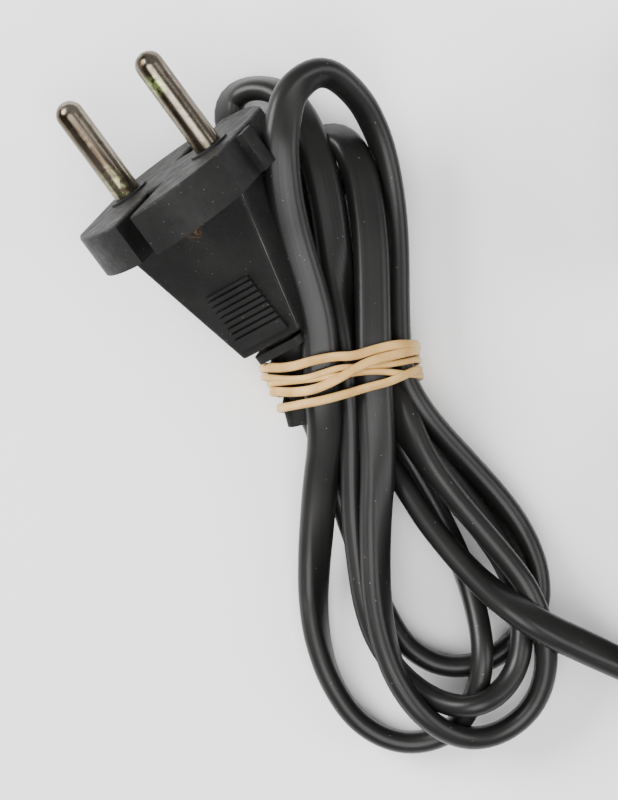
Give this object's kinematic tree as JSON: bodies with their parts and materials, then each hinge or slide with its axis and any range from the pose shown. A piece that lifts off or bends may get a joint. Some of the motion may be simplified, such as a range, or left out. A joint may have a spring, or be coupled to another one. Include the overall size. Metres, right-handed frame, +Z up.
{
  "type": "extension cord",
  "caption": "Black two-pole extension cord with a flat-bodied moulded plug, its flat lead bundled by a rubber band, and a trailing socket.",
  "frame": {"origin": "on the table, under the centre of the box round the plug and the socket", "axes": "+Z up from the table, +X from the plug towards the socket, along the socket's own axis"},
  "size_m": [0.1996, 0.1221, 0.0377],
  "materials": {
    "black_pvc_plug": "fine moulded texture, satin",
    "black_cable": "satin pvc sheath",
    "black_nylon": "fine moulded texture",
    "grey_nylon": "plain moulded",
    "nickel_pin": "nickel plated, worn",
    "brass": "bright stamped",
    "copper_strand": "bare strands",
    "brown_insulation": "smooth pvc",
    "blue_insulation": "smooth pvc",
    "tan_latex": "dull translucent latex",
    "woven_tie": "woven hook-and-loop",
    "zinc_steel": "zinc plated",
    "spring_steel": "drawn wire"
  },
  "bodies": {
    "root": {"plug_body": "black_pvc_plug", "plug_pin_bridge": "black_nylon", "plug_pin_left": "nickel_pin", "plug_pin_right": "nickel_pin", "plug_core_brown": "brown_insulation", "plug_core_blue": "blue_insulation", "plug_strands_brown": "copper_strand", "plug_strands_blue": "copper_strand", "plug_strain_relief": "black_pvc_plug", "cord_start": "black_cable", "rubber_band": "tan_latex", "cord_hank": "black_cable", "cord_run": "black_cable", "cord_coil": "black_cable", "coil_tie": "woven_tie", "cord_lead": "black_cable", "cord_end": "black_cable", "socket_shell_upper": "black_nylon", "socket_shell_lower": "black_nylon", "socket_face": "black_nylon", "socket_contact_carrier": "grey_nylon", "socket_contact_brown": "brass", "socket_contact_blue": "brass", "socket_core_brown": "brown_insulation", "socket_core_blue": "blue_insulation", "socket_strain_relief": "black_pvc_plug", "socket_terminal_screws": "zinc_steel", "socket_cord_clamp": "grey_nylon", "socket_clamp_screws": "zinc_steel", "socket_housing_screws": "zinc_steel", "socket_housing_nuts": "zinc_steel", "socket_shutter_spring": "spring_steel"},
    "shutter": {"socket_shutter": "grey_nylon"}
  },
  "joints": [
    {"name": "shutter_slide", "type": "slide", "parent": "root", "child": "shutter", "axis": [0, 1, 0], "range_m": [0, 0.0052], "stiffness_N_per_m": 60, "springref_m": -0.002, "deforming": ["socket_shutter_spring"]}
  ]
}
